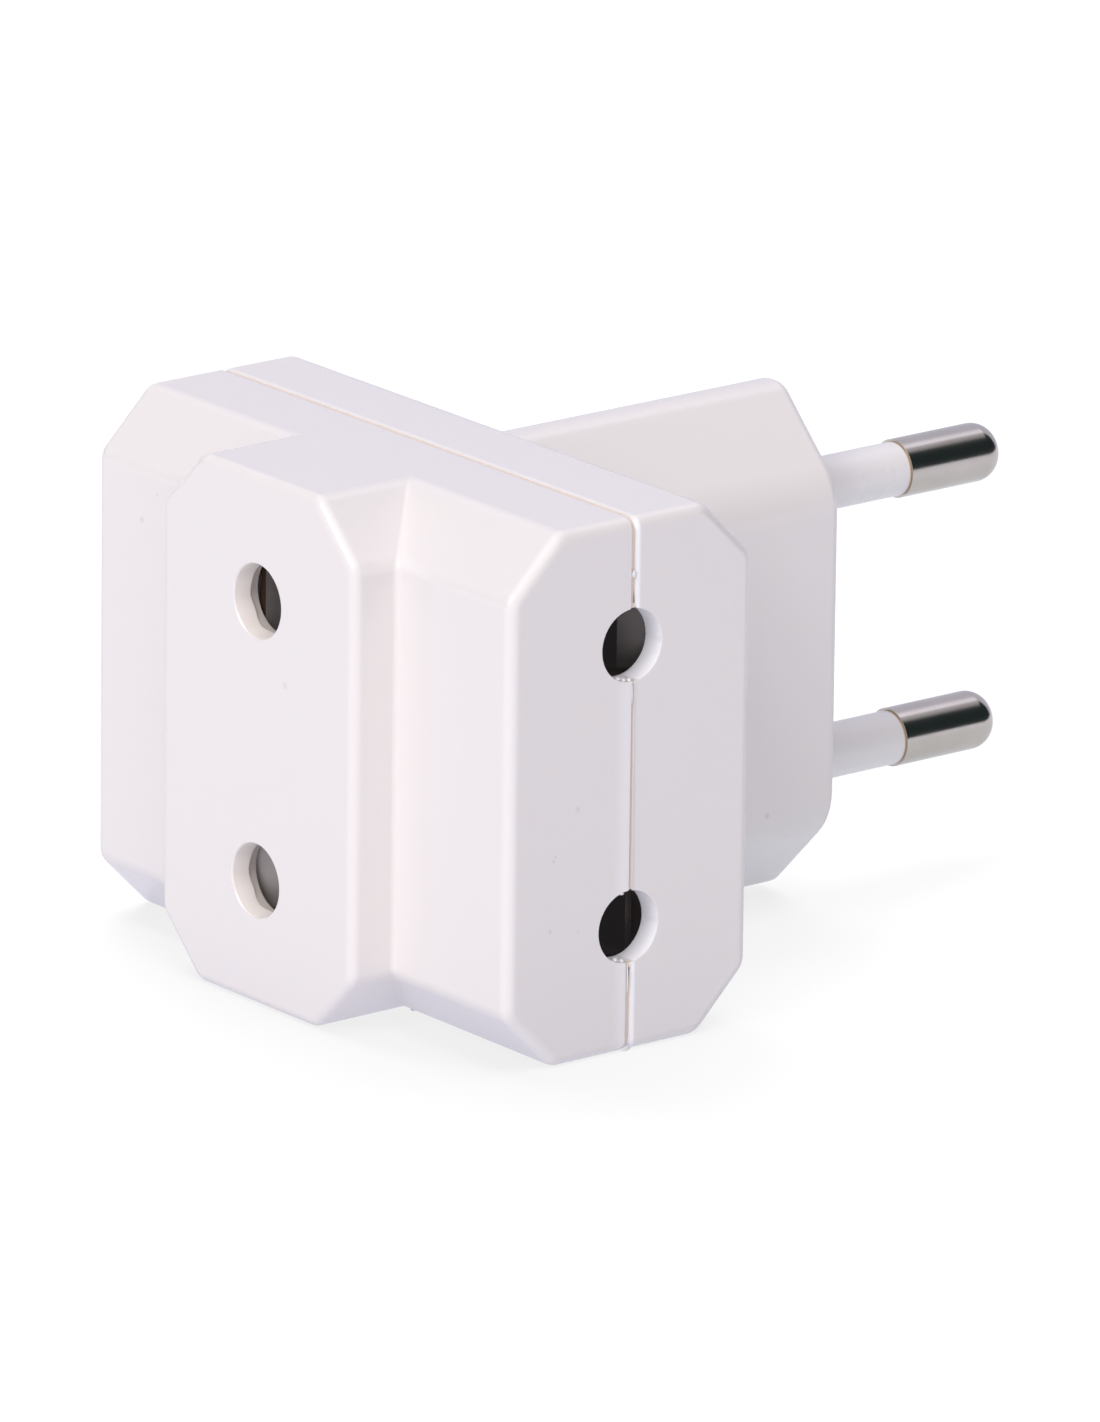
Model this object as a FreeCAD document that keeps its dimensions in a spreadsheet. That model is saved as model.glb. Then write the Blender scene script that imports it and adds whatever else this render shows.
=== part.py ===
"""Three-way plug adapter: two welded housing shells, two plug pins and their contacts.

The cross bar runs along X, the front branch points to -Y, the plug to +Y and Z is up.
The seam between the shells lies in the plane Y = 0. All lengths are in millimetres.
"""
import FreeCAD, Part
import math
import os
import Sketcher

os.makedirs("parts", exist_ok=True)
doc = FreeCAD.newDocument("PlugAdapter")
sheet = doc.addObject("Spreadsheet::Sheet", "Sizes")

SIZES = {
    # Housing
    "bar_length": 44.2,
    "front_depth": 10.0,
    "rear_depth": 10.0,
    "housing_height": 36.0,
    "bar_chamfer": 4.0,
    "bar_edge_round": 1.5,
    "bar_end_round": 0.8,
    "wall": 2.0,
    # Front branch
    "branch_width": 20.6,
    "branch_reach": 13.5,
    "branch_chamfer": 4.0,
    "branch_edge_round": 1.5,
    "branch_face_round": 0.7,
    "branch_root_round": 0.4,
    # Plug branch
    "plug_width": 13.7,
    "plug_inset": 0.58,
    "plug_reach": 29.9,
    "plug_chamfer": 5.92,
    "plug_ridge_round": 4.5,
    "plug_crown_round": 1.8,
    "plug_end_round": 0.8,
    "plug_crown_wall": 2.5,
    "plug_crown_flat": 0.7,
    # Seam between the shells
    "seam_gap": 0.2,
    "seam_inset": 0.5,
    # Sockets
    "socket_spacing": 19.0,
    "front_bore": 5.0,
    "front_bore_depth": 1.35,
    "front_bore_inner": 4.6,
    "front_bore_chamfer": 0.08,
    "end_bore": 4.9,
    "end_bore_depth": 1.7,
    "end_bore_relief": 6.4,
    # Plug pins
    "pin_spacing": 18.8,
    "pin_diameter": 4.0,
    "pin_reach": 18.4,
    "pin_bare_length": 8.3,
    "pin_tip_round": 1.6,
    "pin_core": 3.0,
    "sleeve_diameter": 3.68,
    "sleeve_clearance": 0.05,
    "pin_shaft": 3.6,
    "pin_collar": 5.2,
    "pin_collar_length": 1.5,
    "pin_collar_clearance": 0.1,
    # Rivet joint of pin, strip and clip
    "rivet_shank": 2.4,
    "rivet_clearance": 0.05,
    "rivet_head": 3.6,
    "rivet_head_top": 2.8,
    "rivet_head_height": 0.5,
    # Side contact strips
    "strip_thickness": 0.5,
    "strip_height": 5.4,
    "web_front": 6.9,
    "web_half_length": 7.0,
    "leaf_half_gap": 1.8,
    "lead_in": 1.4,
    "lead_in_depth": 3.85,
    "plain_end_depth": 2.6,
    "front_leaf_length": 7.0,
    "front_leaf_inset": 0.4,
    # Front contact clips
    "clip_thickness": 0.5,
    "clip_height": 6.0,
    "clip_end_clearance": 0.1,
    "clip_lead_in_depth": 3.6,
    # Seats moulded into the shells
    "guide_rib_clearance": 0.4,
    "guide_rib_thickness": 1.2,
    "guide_rib_reach": 7.5,
    "barrier_thickness": 1.2,
    "barrier_clearance": 0.1,
    "tongue_width": 1.6,
    "tongue_height": 5.0,
    "tongue_spacing": 29.0,
    "tongue_reach": 2.6,
    "tongue_clearance": 0.05,
    "tongue_tip_chamfer": 0.4,
    "keeper_wall": 1.2,
    "keeper_clearance": 0.2,
    "keeper_slot_extra": 0.6,
    "seat_wall": 1.0,
    "seat_length": 4.0,
    "cut_margin": 2.0,
}
for row, (alias, number) in enumerate(SIZES.items(), start=1):
    sheet.set(f"A{row}", alias)
    sheet.set(f"B{row}", str(number))
    sheet.setAlias(f"B{row}", alias)
doc.recompute()


class Size:
    """A length with its number and the sheet expression that gives it."""

    def __init__(self, number, text):
        self.number = number
        self.text = text

    def __add__(self, other):
        return Size(self.number + other.number, f"({self.text} + {other.text})")

    def __sub__(self, other):
        return Size(self.number - other.number, f"({self.text} - {other.text})")

    def __mul__(self, factor):
        return Size(self.number * factor, f"({self.text} * {factor!r})")

    def __truediv__(self, divisor):
        return Size(self.number / divisor, f"({self.text} / {divisor!r})")

    def __neg__(self):
        return Size(-self.number, f"(-{self.text})")


def size(alias):
    return Size(SIZES[alias], f"Sizes.{alias}")


ZERO = Size(0.0, "0")
DIGITS = 4
FACTOR_DIGITS = 6
# How far a sheet's corner moves along one side when the sheet bends by 45 degrees
BEND_SHIFT = round(math.tan(math.radians(22.5)), FACTOR_DIGITS)
HALF_DIAGONAL = round(math.sqrt(0.5), FACTOR_DIGITS)
# What a wall takes off a 45 degree chamfer when the section is offset inwards
CHAMFER_LOSS = round(2.0 - math.sqrt(2.0), FACTOR_DIGITS)
NEAR = 1e-4


def own_plane(body, role):
    return [f for f in body.Origin.OriginFeatures if f.Role == role][0]


def new_body(label):
    body = doc.addObject("PartDesign::Body", label)
    body.Label = label
    return body


def new_sketch(body, name, role, offset=None):
    sketch = body.newObject("Sketcher::SketchObject", name)
    sketch.AttachmentSupport = [(own_plane(body, role), "")]
    sketch.MapMode = "FlatFace"
    if offset is not None:
        sketch.setExpression("AttachmentOffset.Base.z", offset.text)
    return sketch


def fix_point(sketch, geometry, vertex, across, along):
    """Ties a sketch point to the origin by its two coordinates."""
    for kind, axis, value in (("DistanceX", -2, across), ("DistanceY", -1, along)):
        if abs(value.number) < NEAR:
            sketch.addConstraint(Sketcher.Constraint("PointOnObject", geometry, vertex, axis))
            continue
        ends = (-1, 1, geometry, vertex) if value.number > 0 else (geometry, vertex, -1, 1)
        length = abs(value.number)
        index = sketch.addConstraint(Sketcher.Constraint(kind, *ends, length))
        text = value.text if value.number > 0 else (-value).text
        sketch.setExpression(f"Constraints[{index}]", text)


def add_polygon(sketch, corners):
    """Draws a closed outline through corners given as pairs of sizes."""
    first = sketch.GeometryCount
    points = [FreeCAD.Vector(x.number, y.number, 0) for x, y in corners]
    count = len(points)
    for i in range(count):
        sketch.addGeometry(Part.LineSegment(points[i], points[(i + 1) % count]))
    for i in range(count):
        joint = ("Coincident", first + i, 2, first + (i + 1) % count, 1)
        sketch.addConstraint(Sketcher.Constraint(*joint))
    for i, (x, y) in enumerate(corners):
        fix_point(sketch, first + i, 1, x, y)


def add_rectangle(sketch, left, right, low, high):
    add_polygon(sketch, [(left, low), (right, low), (right, high), (left, high)])


def add_upright_pair(sketch, half_width, half_height):
    """Draws two equal rectangles at mid height, at the two places of the tongues."""
    for x in (tongue_place, -tongue_place):
        add_rectangle(
            sketch, x - half_width, x + half_width, middle - half_height, middle + half_height
        )


def add_circle(sketch, x, y, diameter):
    centre = FreeCAD.Vector(x.number, y.number, 0)
    up = FreeCAD.Vector(0, 0, 1)
    index = sketch.addGeometry(Part.Circle(centre, up, diameter.number / 2))
    fix_point(sketch, index, 3, x, y)
    limit = sketch.addConstraint(Sketcher.Constraint("Diameter", index, diameter.number))
    sketch.setExpression(f"Constraints[{limit}]", diameter.text)


def extrude(body, kind, name, sketch, length, side="One side", reverse=False):
    feature = body.newObject(kind, name)
    feature.Profile = (sketch, [""])
    feature.SideType = side
    feature.Reversed = reverse
    feature.setExpression("Length", length.text)
    sketch.Visibility = False
    doc.recompute()
    return feature


def pad(body, name, sketch, length, side="One side", reverse=False):
    before = body.Shape.Volume if len(body.Shape.Solids) else 0.0
    feature = extrude(body, "PartDesign::Pad", name, sketch, length, side, reverse)
    if feature.Shape.Volume <= before:
        raise RuntimeError(f"{name} adds nothing")
    return feature


def pocket(body, name, sketch, depth, side="One side", reverse=False):
    before = body.Shape.Volume
    feature = extrude(body, "PartDesign::Pocket", name, sketch, depth, side, reverse)
    if feature.Shape.Volume >= before:
        raise RuntimeError(f"{name} cuts nothing")
    return feature


def dress(body, kind, name, amount, wanted):
    """Rounds or chamfers the edges of the body's tip that the test picks."""
    base = body.Tip
    edges = enumerate(base.Shape.Edges, start=1)
    names = [f"Edge{i}" for i, edge in edges if wanted(edge)]
    if not names:
        raise RuntimeError(f"{name} finds no edges")
    feature = body.newObject(kind, name)
    feature.Base = (base, names)
    feature.setExpression("Radius" if kind.endswith("Fillet") else "Size", amount.text)
    doc.recompute()
    return feature


def fillet(body, name, amount, wanted):
    return dress(body, "PartDesign::Fillet", name, amount, wanted)


def chamfer(body, name, amount, wanted):
    return dress(body, "PartDesign::Chamfer", name, amount, wanted)


def along(edge, axis):
    """Whether the edge is straight and runs along the axis, 0 for X, 1 for Y, 2 for Z."""
    low = edge.BoundBox
    spans = (low.XLength, low.YLength, low.ZLength)
    others = sum(spans[i] for i in range(3) if i != axis)
    return spans[axis] > NEAR and others < NEAR


def at(value, place):
    return abs(value - place.number) < NEAR


def merge(body, name, other, kind):
    feature = body.newObject("PartDesign::Boolean", name)
    feature.setObjects([other])
    feature.Type = kind
    doc.recompute()
    return feature


bar_length = size("bar_length")
half_bar = bar_length / 2
height = size("housing_height")
middle = height / 2
wall = size("wall")
margin = size("cut_margin")
bar_chamfer = size("bar_chamfer")
branch_half = size("branch_width") / 2
branch_reach = size("branch_reach")
plug_half = size("plug_width") / 2
plug_top = height - size("plug_inset")
plug_bottom = size("plug_inset")
plug_reach = size("plug_reach")
socket_high = middle + size("socket_spacing") / 2
socket_low = middle - size("socket_spacing") / 2
pin_high = middle + size("pin_spacing") / 2
pin_low = middle - size("pin_spacing") / 2
inner_bar_chamfer = bar_chamfer - wall * CHAMFER_LOSS
inner_branch_chamfer = size("branch_chamfer") - wall * CHAMFER_LOSS
plug_wall_inside = plug_reach - wall
tongue_place = size("tongue_spacing") / 2
half_tongue_width = size("tongue_width") / 2
half_tongue_height = size("tongue_height") / 2


# Branch blanks: the front branch and the plug, each a block with its edges cut and rounded


def make_branch_blank():
    body = new_body("front_branch_blank")
    sketch = new_sketch(body, "branch_section", "XZ_Plane")
    add_rectangle(sketch, -branch_half, branch_half, ZERO, height)
    pad(body, "branch_block", sketch, branch_reach)
    cut = chamfer(body, "branch_chamfers", size("branch_chamfer"), lambda e: along(e, 1))
    body.Tip = cut
    soft = fillet(body, "branch_edge_rounds", size("branch_edge_round"), lambda e: along(e, 1))
    body.Tip = soft

    def on_face(edge):
        return at(edge.BoundBox.YMax, -branch_reach) and edge.BoundBox.YLength < NEAR

    body.Tip = fillet(body, "branch_face_rounds", size("branch_face_round"), on_face)
    return body


def make_plug_blank():
    body = new_body("plug_blank")
    sketch = new_sketch(body, "plug_section", "XZ_Plane")
    add_rectangle(sketch, -plug_half, plug_half, plug_bottom, plug_top)
    pad(body, "plug_block", sketch, plug_reach, reverse=True)
    body.Tip = chamfer(body, "plug_chamfers", size("plug_chamfer"), lambda e: along(e, 1))

    def crown(edge):
        box = edge.BoundBox
        return along(edge, 1) and (at(box.ZMin, plug_top) or at(box.ZMin, plug_bottom))

    def ridge(edge):
        return along(edge, 1) and abs(abs(edge.BoundBox.XMin) - plug_half.number) < NEAR

    body.Tip = fillet(body, "plug_ridge_rounds", size("plug_ridge_round"), ridge)
    body.Tip = fillet(body, "plug_crown_rounds", size("plug_crown_round"), crown)

    def on_end(edge):
        return at(edge.BoundBox.YMin, plug_reach) and edge.BoundBox.YLength < NEAR

    body.Tip = fillet(body, "plug_end_rounds", size("plug_end_round"), on_end)
    return body


def half_bar_block(body, depth, forward):
    """One half of the cross bar, from the seam plane to its face, with its edges cut."""
    face = -depth if forward else depth
    sketch = new_sketch(body, f"{body.Label}_bar_section", "YZ_Plane")
    if forward:
        add_rectangle(sketch, face, ZERO, ZERO, height)
    else:
        add_rectangle(sketch, ZERO, face, ZERO, height)
    pad(body, f"{body.Label}_bar_block", sketch, bar_length, side="Symmetric")

    def face_edges(edge):
        return along(edge, 0) and at(edge.BoundBox.YMin, face)

    body.Tip = chamfer(body, f"{body.Label}_bar_chamfers", bar_chamfer, face_edges)

    def long_edges(edge):
        return along(edge, 0) and abs(edge.BoundBox.YMin) > NEAR

    amount = size("bar_edge_round")
    body.Tip = fillet(body, f"{body.Label}_edge_rounds", amount, long_edges)

    def end_edges(edge):
        box = edge.BoundBox
        on_end = box.XLength < NEAR and abs(abs(box.XMin) - half_bar.number) < NEAR
        return on_end and not (box.YLength < NEAR and abs(box.YMin) < NEAR)

    body.Tip = fillet(body, f"{body.Label}_end_rounds", size("bar_end_round"), end_edges)


def hollow_bar(body, depth, forward):
    """Hollows the half bar, leaving the wall all round and the seam side open."""
    sketch = new_sketch(body, f"{body.Label}_bar_hollow", "YZ_Plane")
    floor = depth - wall
    slope = floor - inner_bar_chamfer
    low, high = wall, height - wall
    sign = -1.0 if forward else 1.0
    corners = [
        (ZERO, low),
        (slope * sign, low),
        (floor * sign, low + inner_bar_chamfer),
        (floor * sign, high - inner_bar_chamfer),
        (slope * sign, high),
        (ZERO, high),
    ]
    add_polygon(sketch, corners)
    pocket(body, f"{body.Label}_bar_cavity", sketch, bar_length - wall * 2, side="Symmetric")


def end_bores(body):
    """Bores both ends of the bar at both pole heights, with a wider relief inside."""
    sketch = new_sketch(body, f"{body.Label}_end_bore_plan", "YZ_Plane")
    for level in (socket_high, socket_low):
        add_circle(sketch, ZERO, level, size("end_bore"))
    reach = bar_length + margin
    pocket(body, f"{body.Label}_end_bores", sketch, reach, side="Symmetric")
    depth = size("end_bore_depth")
    for side, offset, reverse in (
        ("right", half_bar - depth, False),
        ("left", -(half_bar - depth), True),
    ):
        relief = new_sketch(body, f"{body.Label}_{side}_relief_plan", "YZ_Plane", offset)
        for level in (socket_high, socket_low):
            add_circle(relief, ZERO, level, size("end_bore_relief"))
        pocket(body, f"{body.Label}_{side}_reliefs", relief, wall - depth, reverse=reverse)


def at_root(edge):
    """Whether an edge lies where a side of the front branch leaves the bar."""
    box = edge.BoundBox
    on_side = along(edge, 2) and abs(abs(box.XMin) - branch_half.number) < NEAR
    return on_side and at(box.YMin, -size("front_depth"))


# Front shell: the front half of the bar with the front branch, hollow and open at the seam


def make_front_shell():
    body = new_body("front_shell")
    depth = size("front_depth")
    half_bar_block(body, depth, True)
    merge(body, "front_branch", make_branch_blank(), "Fuse")
    body.Tip = fillet(body, "branch_root_rounds", size("branch_root_round"), at_root)
    hollow_bar(body, depth, True)
    inner = branch_half - wall
    low, high = wall, height - wall
    slope = inner - inner_branch_chamfer
    sketch = new_sketch(body, "branch_hollow", "XZ_Plane")
    corners = [
        (-slope, low),
        (slope, low),
        (inner, low + inner_branch_chamfer),
        (inner, high - inner_branch_chamfer),
        (slope, high),
        (-slope, high),
        (-inner, high - inner_branch_chamfer),
        (-inner, low + inner_branch_chamfer),
    ]
    add_polygon(sketch, corners)
    pocket(body, "branch_cavity", sketch, branch_reach - wall, reverse=True)

    # Upright ribs that guide the front contact clips
    rib_inside = size("leaf_half_gap") + size("clip_thickness") + size("lead_in")
    rib_inside = rib_inside + size("guide_rib_clearance")
    rib_outside = rib_inside + size("guide_rib_thickness")
    front_wall = branch_reach - wall
    start = front_wall - size("guide_rib_reach")
    sketch = new_sketch(body, "guide_rib_section", "XZ_Plane", start)
    add_rectangle(sketch, rib_inside, rib_outside, wall, height - wall)
    add_rectangle(sketch, -rib_outside, -rib_inside, wall, height - wall)
    pad(body, "guide_ribs", sketch, size("guide_rib_reach"))

    # Barrier between the poles
    half_barrier = size("barrier_thickness") / 2
    clearance = size("barrier_clearance")
    sketch = new_sketch(body, "front_barrier_section", "XZ_Plane", clearance)
    add_rectangle(sketch, -inner, inner, middle - half_barrier, middle + half_barrier)
    pad(body, "front_barrier", sketch, front_wall - clearance)

    # Tongues that find the rear shell's keepers
    reach = size("tongue_reach")
    sketch = new_sketch(body, "tongue_section", "XZ_Plane", -reach)
    add_upright_pair(sketch, half_tongue_width, half_tongue_height)
    pad(body, "locating_tongues", sketch, reach + depth - wall)

    def tongue_tips(edge):
        return at(edge.BoundBox.YMin, reach) and along(edge, 2)

    body.Tip = chamfer(body, "tongue_tips", size("tongue_tip_chamfer"), tongue_tips)

    # Front socket holes, stepped inside and bevelled at the mouth
    sketch = new_sketch(body, "front_bore_plan", "XZ_Plane", front_wall - margin / 2)
    for level in (socket_high, socket_low):
        add_circle(sketch, ZERO, level, size("front_bore_inner"))
    pocket(body, "front_bores", sketch, wall + margin, reverse=True)
    bottom = branch_reach - size("front_bore_depth")
    sketch = new_sketch(body, "front_mouth_plan", "XZ_Plane", bottom)
    for level in (socket_high, socket_low):
        add_circle(sketch, ZERO, level, size("front_bore"))
    pocket(body, "front_mouths", sketch, size("front_bore_depth") + margin, reverse=True)

    def mouths(edge):
        box = edge.BoundBox
        round_edge = abs(box.XLength - size("front_bore").number) < NEAR
        return round_edge and at(box.YMin, -branch_reach) and box.YLength < NEAR

    body.Tip = chamfer(body, "front_mouth_bevels", size("front_bore_chamfer"), mouths)
    end_bores(body)
    return body


# Rear shell: the rear half of the bar with the plug, hollow and open at the seam


def make_rear_shell():
    body = new_body("rear_shell")
    depth = size("rear_depth")
    half_bar_block(body, depth, False)
    merge(body, "plug_branch", make_plug_blank(), "Fuse")
    hollow_bar(body, depth, False)
    inner = plug_half - wall
    crown = size("plug_crown_flat")
    low = plug_bottom + size("plug_crown_wall")
    high = plug_top - size("plug_crown_wall")
    slope = inner - crown
    sketch = new_sketch(body, "plug_hollow", "XZ_Plane")
    corners = [
        (-crown, low),
        (crown, low),
        (inner, low + slope),
        (inner, high - slope),
        (crown, high),
        (-crown, high),
        (-inner, high - slope),
        (-inner, low + slope),
    ]
    add_polygon(sketch, corners)
    pocket(body, "plug_cavity", sketch, plug_wall_inside)

    # Tubes that hold the pin collars against the end wall
    collar_hole = size("pin_collar") + size("pin_collar_clearance") * 2
    tube = collar_hole + size("seat_wall") * 2
    seat_start = plug_wall_inside - size("seat_length")
    sketch = new_sketch(body, "seat_section", "XZ_Plane", -plug_wall_inside)
    for level in (pin_high, pin_low):
        add_circle(sketch, ZERO, level, tube)
        add_circle(sketch, ZERO, level, collar_hole)
    pad(body, "pin_seats", sketch, size("seat_length"))
    hole = size("sleeve_diameter") + size("sleeve_clearance") * 2
    sketch = new_sketch(body, "pin_hole_plan", "XZ_Plane", -(plug_wall_inside - margin / 2))
    for level in (pin_high, pin_low):
        add_circle(sketch, ZERO, level, hole)
    pocket(body, "pin_holes", sketch, wall + margin)

    # Barrier between the poles, short of the collar tubes
    half_barrier = size("barrier_thickness") / 2
    barrier_length = seat_start - size("barrier_clearance")
    sketch = new_sketch(body, "rear_barrier_section", "XZ_Plane", -seat_start)
    add_rectangle(sketch, -inner, inner, middle - half_barrier, middle + half_barrier)
    pad(body, "rear_barrier", sketch, barrier_length)

    # Keepers that take the front shell's tongues
    keeper_top = size("keeper_clearance")
    slot_width = half_tongue_width + size("tongue_clearance")
    slot_height = half_tongue_height + size("tongue_clearance")
    keeper_wall = size("keeper_wall")
    sketch = new_sketch(body, "keeper_section", "XZ_Plane", -(depth - wall))
    add_upright_pair(sketch, slot_width + keeper_wall, slot_height + keeper_wall)
    pad(body, "tongue_keepers", sketch, depth - wall - keeper_top)
    sketch = new_sketch(body, "keeper_slot_plan", "XZ_Plane", -keeper_top)
    add_upright_pair(sketch, slot_width, slot_height)
    slot_depth = size("tongue_reach") + size("keeper_slot_extra") - keeper_top
    pocket(body, "keeper_slots", sketch, slot_depth)

    # Narrow gap that runs round the outside of the seam
    inset = size("seam_inset")
    sketch = new_sketch(body, "seam_gap_plan", "XZ_Plane")
    outside = half_bar + margin
    add_rectangle(sketch, -outside, outside, -margin, height + margin)
    inside = half_bar - inset
    add_rectangle(sketch, -inside, inside, inset, height - inset)
    pocket(body, "seam_relief", sketch, size("seam_gap"))
    end_bores(body)
    return body


# Side contact strip: one bent strip on edge with a socket channel at each end


def make_strip(label, level, turned):
    body = new_body(label)
    thick = size("strip_thickness")
    web = size("web_front")
    leaf = size("leaf_half_gap")
    reach = size("web_half_length")
    jog = reach + web - leaf
    shift = thick * BEND_SHIFT
    lead = size("lead_in")
    pinch = half_bar - size("lead_in_depth")
    tip = pinch + lead
    bevel = thick * HALF_DIAGONAL
    plain = half_bar - size("plain_end_depth")
    corners = [
        (-plain, leaf),
        (-jog, leaf),
        (-reach, web),
        (reach, web),
        (jog, leaf),
        (pinch, leaf),
        (tip, leaf + lead),
        (tip - bevel, leaf + lead + bevel),
        (pinch - shift, leaf + thick),
        (jog + shift, leaf + thick),
        (reach + shift, web + thick),
        (-(reach + shift), web + thick),
        (-(jog + shift), leaf + thick),
        (-plain, leaf + thick),
    ]
    tall = size("strip_height")
    sketch = new_sketch(body, f"{label}_plan", "XY_Plane")
    add_polygon(sketch, corners)
    pad(body, f"{label}_strip", sketch, tall, side="Symmetric")

    # The strip folds over the pin and down again in front of it
    top = tall / 2
    outer = leaf + thick
    length = size("front_leaf_length")
    inset = size("front_leaf_inset")
    for side, offset in (("far", -plain + inset), ("near", pinch - length)):
        fold = new_sketch(body, f"{label}_{side}_fold_section", "YZ_Plane", offset)
        corners = [
            (outer, top),
            (outer, top + thick),
            (-outer, top + thick),
            (-outer, -top),
            (-leaf, -top),
            (-leaf, top),
        ]
        add_polygon(fold, corners)
        pad(body, f"{label}_{side}_fold", fold, length)
    hole = new_sketch(body, f"{label}_rivet_plan", "XZ_Plane", -web)
    offset = (size("socket_spacing") - size("pin_spacing")) / 2
    diameter = size("rivet_shank") + size("rivet_clearance") * 2
    add_circle(hole, ZERO, -offset, diameter)
    pocket(body, f"{label}_rivet_hole", hole, thick)
    turn(body, level, turned)
    return body


# Front contact clip: a bent strip riveted on the plug pin, with a leaf each side of the hole


def make_clip(label, level, turned):
    body = new_body(label)
    thick = size("clip_thickness")
    base = size("web_front")
    leaf = size("leaf_half_gap")
    outer = leaf + thick
    shift = thick * BEND_SHIFT
    bevel = thick * HALF_DIAGONAL
    lead = size("lead_in")
    plain = -(branch_reach - wall - size("clip_end_clearance"))
    pinch = -(branch_reach - size("clip_lead_in_depth"))
    tip = pinch - lead
    corners = [
        (-outer, plain),
        (-leaf, plain),
        (-leaf, base - thick),
        (leaf, base - thick),
        (leaf, pinch),
        (leaf + lead, tip),
        (leaf + lead + bevel, tip + bevel),
        (outer, pinch + shift),
        (outer, base),
        (-outer, base),
    ]
    sketch = new_sketch(body, f"{label}_plan", "XY_Plane")
    add_polygon(sketch, corners)
    pad(body, f"{label}_bend", sketch, size("clip_height"), side="Symmetric")
    hole = new_sketch(body, f"{label}_rivet_plan", "XZ_Plane", -(base - thick))
    offset = (size("socket_spacing") - size("pin_spacing")) / 2
    diameter = size("rivet_shank") + size("rivet_clearance") * 2
    add_circle(hole, ZERO, -offset, diameter)
    pocket(body, f"{label}_rivet_hole", hole, thick)
    turn(body, level, turned)
    return body


def turn(body, level, turned):
    """Sets a contact at its pole height, turned half round about Y for the lower pole."""
    angle = 180.0 if turned else 0.0
    y_axis = FreeCAD.Vector(0, 1, 0)
    spin = FreeCAD.Rotation(y_axis, angle)
    body.Placement = FreeCAD.Placement(FreeCAD.Vector(0, 0, level.number), spin)
    body.setExpression("Placement.Base.z", level.text)


# Plug pin: a turned pin with a bare tip, a thin core for the sleeve, a collar and a rivet end


def make_pin(label, level):
    body = new_body(label)
    web = size("web_front")
    stack = web - size("clip_thickness")
    head = stack - size("rivet_head_height")
    back = web + size("strip_thickness")
    collar_start = plug_wall_inside - size("pin_collar_length")
    tip = plug_reach + size("pin_reach")
    bare = tip - size("pin_bare_length")
    corners = [
        (head, ZERO),
        (head, size("rivet_head_top") / 2),
        (stack, size("rivet_head") / 2),
        (stack, size("rivet_shank") / 2),
        (back, size("rivet_shank") / 2),
        (back, size("pin_shaft") / 2),
        (collar_start, size("pin_shaft") / 2),
        (collar_start, size("pin_collar") / 2),
        (plug_wall_inside, size("pin_collar") / 2),
        (plug_wall_inside, size("pin_core") / 2),
        (bare, size("pin_core") / 2),
        (bare, size("pin_diameter") / 2),
        (tip, size("pin_diameter") / 2),
        (tip, ZERO),
    ]
    sketch = new_sketch(body, f"{label}_half_section", "YZ_Plane")
    add_polygon(sketch, corners)
    solid = body.newObject("PartDesign::Revolution", f"{label}_turning")
    solid.Profile = (sketch, [""])
    solid.ReferenceAxis = (sketch, ["H_Axis"])
    sketch.Visibility = False
    doc.recompute()

    def tip_edge(edge):
        return at(edge.BoundBox.YMin, tip) and edge.BoundBox.YLength < NEAR

    body.Tip = fillet(body, f"{label}_tip", size("pin_tip_round"), tip_edge)
    body.setExpression("Placement.Base.z", level.text)
    return body


# Pin sleeve: the insulating tube moulded on the pin between the plug and the bare tip


def make_sleeve(label, level):
    body = new_body(label)
    tip = plug_reach + size("pin_reach")
    bare = tip - size("pin_bare_length")
    inner = size("pin_core") / 2
    outer = size("sleeve_diameter") / 2
    sketch = new_sketch(body, f"{label}_half_section", "YZ_Plane")
    add_rectangle(sketch, plug_wall_inside, bare, inner, outer)
    solid = body.newObject("PartDesign::Revolution", f"{label}_tube")
    solid.Profile = (sketch, [""])
    solid.ReferenceAxis = (sketch, ["H_Axis"])
    sketch.Visibility = False
    doc.recompute()
    body.setExpression("Placement.Base.z", level.text)
    return body


NODES = [
    make_front_shell(),
    make_rear_shell(),
    make_strip("contact_strip_upper", socket_high, False),
    make_strip("contact_strip_lower", socket_low, True),
    make_clip("contact_clip_upper", socket_high, False),
    make_clip("contact_clip_lower", socket_low, True),
    make_pin("plug_pin_upper", pin_high),
    make_pin("plug_pin_lower", pin_low),
    make_sleeve("pin_sleeve_upper", pin_high),
    make_sleeve("pin_sleeve_lower", pin_low),
]
doc.recompute()

for item in doc.Objects:
    if "Invalid" in item.State or "Error" in item.State:
        raise RuntimeError(f"{item.Label} did not build: {item.State}")
for node in NODES:
    if node.Shape.isNull() or not node.Shape.isValid() or len(node.Shape.Solids) != 1:
        raise RuntimeError(f"{node.Label} is not one valid solid")
for node in NODES:
    node.Shape.exportStep(f"parts/{node.Label}.step")
    print(node.Label, round(node.Shape.Volume, DIGITS), node.Shape.BoundBox)
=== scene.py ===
"""A white three-way mains adapter on a pale studio floor."""

import math

import bmesh
import bpy
from mathutils import Matrix, Vector, noise


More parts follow.
